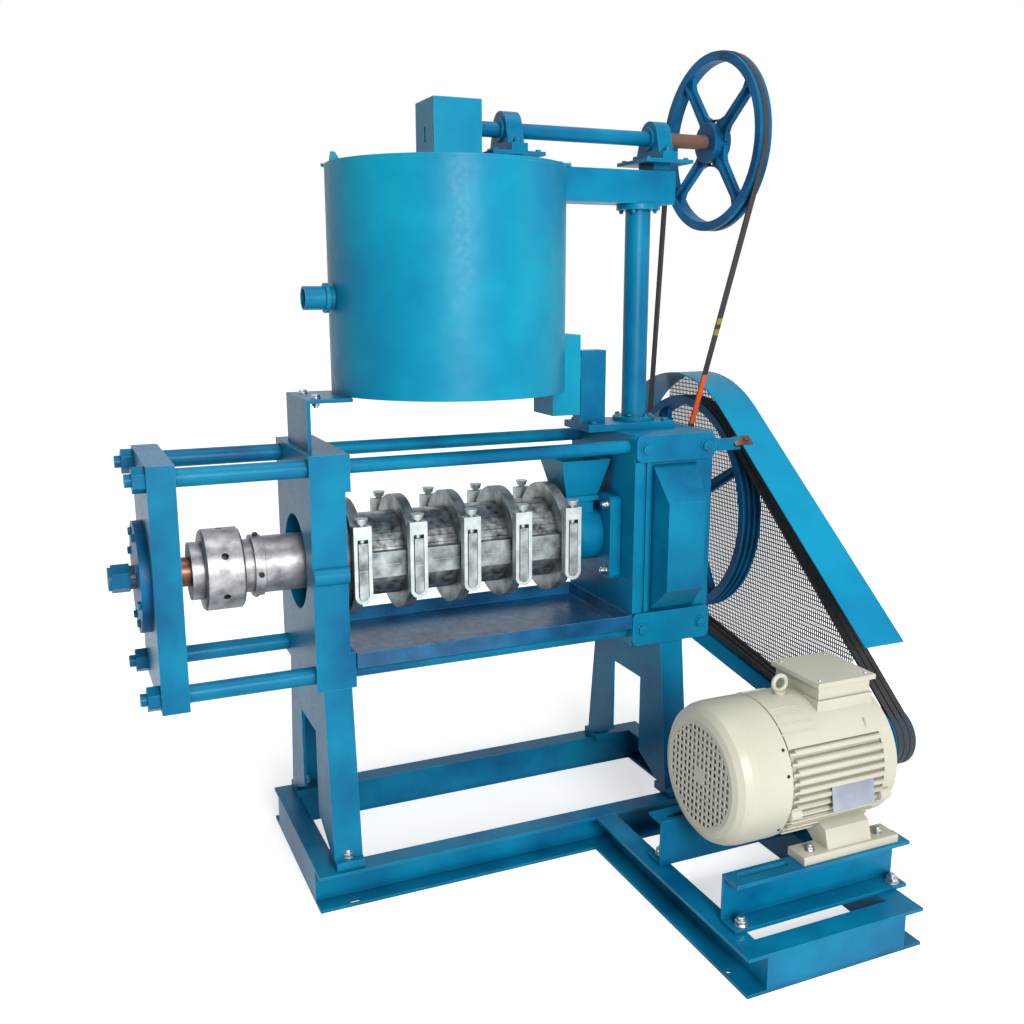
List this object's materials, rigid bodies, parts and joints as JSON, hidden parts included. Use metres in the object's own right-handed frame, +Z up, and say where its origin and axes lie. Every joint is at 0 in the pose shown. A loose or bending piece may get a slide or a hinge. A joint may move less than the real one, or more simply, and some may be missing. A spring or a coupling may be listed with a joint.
{
  "type": "screw oil press",
  "caption": "Screw oil press with a stirred kettle above it, barred pressing cage, gearbox, guarded belt drive and side-mounted motor on a welded channel base.",
  "frame": {"origin": "on the floor under the press axis, at the middle of the main base frame", "axes": "+X along the press axis from the discharge end to the drive end, +Y to the back, +Z up"},
  "size_m": [1.917, 1.66, 2.245],
  "materials": {
    "blue_paint": "semi-gloss",
    "cream_paint": "satin",
    "bare_steel": "satin",
    "brown_steel": "worn",
    "cast_iron": "machined",
    "bronze": "machined",
    "belt_rubber": "matte"
  },
  "bodies": {
    "frame": {"base_frame": "blue_paint", "bearing_arm": "blue_paint", "belt_guard": "blue_paint", "cage_bars": "bare_steel", "cage_lower_half": "bare_steel", "cage_upper_half": "bare_steel", "column": "blue_paint", "discharge_duct": "blue_paint", "drive_belts": "belt_rubber", "end_bearing_cover": "blue_paint", "end_plate": "blue_paint", "fan_cover": "cream_paint", "feed_hopper": "blue_paint", "feed_housing": "blue_paint", "front_cage_clamps": "bare_steel", "gearbox_bands": "blue_paint", "gearbox_front_cover": "blue_paint", "gearbox_housing": "blue_paint", "gearbox_top_plate": "blue_paint", "guard_brace": "blue_paint", "guard_panel": "blue_paint", "input_bearing_housing": "blue_paint", "kettle_belt": "belt_rubber", "kettle_gear_housing": "blue_paint", "kettle_lid": "blue_paint", "kettle_shell": "blue_paint", "left_kettle_support": "blue_paint", "left_pillow_block": "blue_paint", "left_stand": "blue_paint", "lower_front_tie_rod": "blue_paint", "lower_rear_tie_rod": "blue_paint", "middle_frame": "blue_paint", "motor_base": "blue_paint", "motor_frame": "cream_paint", "motor_rails": "blue_paint", "oil_tray": "blue_paint", "rear_cage_clamps": "bare_steel", "right_kettle_support": "blue_paint", "right_pillow_block": "blue_paint", "right_stand": "blue_paint", "shaft_bearings": "bare_steel", "terminal_box": "cream_paint", "upper_front_tie_rod": "blue_paint", "upper_rear_tie_rod": "blue_paint"},
    "worm": {"worm_shaft": "brown_steel", "press_worm": "cast_iron", "bull_gear": "cast_iron"},
    "input_shaft": {"pinion_shaft": "brown_steel", "drive_pulley": "blue_paint", "kettle_drive_sheave": "blue_paint"},
    "rotor": {"motor_rotor": "bare_steel", "motor_pulley": "blue_paint"},
    "kettle_drive": {"kettle_drive_shaft": "blue_paint", "kettle_pulley": "blue_paint", "bevel_pinion": "cast_iron"},
    "agitator": {"stirrer": "bare_steel", "bevel_gear": "bronze"},
    "choke": {"choke_sleeve": "bare_steel"},
    "choke_screw": {"choke_nut": "bare_steel"},
    "gate": {"kettle_gate": "bare_steel"}
  },
  "joints": [
    {"name": "input_spin", "type": "hinge", "parent": "frame", "child": "input_shaft", "pos_m": [0.7, 0.264, 0.873], "axis": [1, 0, 0], "continuous": true},
    {"name": "worm_spin", "type": "hinge", "parent": "frame", "child": "worm", "pos_m": [0, 0, 0.873], "axis": [1, 0, 0], "continuous": true},
    {"name": "rotor_spin", "type": "hinge", "parent": "frame", "child": "rotor", "pos_m": [0.5, -0.718, 0.414], "axis": [1, 0, 0], "continuous": true},
    {"name": "kettle_drive_spin", "type": "hinge", "parent": "frame", "child": "kettle_drive", "pos_m": [0.4, 0, 1.995], "axis": [1, 0, 0], "continuous": true},
    {"name": "agitator_spin", "type": "hinge", "parent": "frame", "child": "agitator", "pos_m": [-0.155, 0, 1.6], "axis": [0, 0, 1], "continuous": true},
    {"name": "choke_slide", "type": "slide", "parent": "worm", "child": "choke", "axis": [-1, 0, 0], "range_m": [0, 0.025]},
    {"name": "choke_turn", "type": "hinge", "parent": "choke", "child": "choke_screw", "pos_m": [-0.79, 0, 0.873], "axis": [-1, 0, 0], "range_deg": [0, 1500]},
    {"name": "gate_lift", "type": "slide", "parent": "frame", "child": "gate", "axis": [0, 0, 1], "range_m": [0, 0.06]}
  ],
  "couplings": [
    {"joint": "worm_spin", "follows": "input_spin", "ratio": -0.20548},
    {"joint": "rotor_spin", "follows": "input_spin", "ratio": 4.6974},
    {"joint": "kettle_drive_spin", "follows": "input_spin", "ratio": 0.30645},
    {"joint": "agitator_spin", "follows": "input_spin", "ratio": 0.15323},
    {"joint": "choke_turn", "follows": "choke_slide", "rad_per_m": 1047.2}
  ]
}
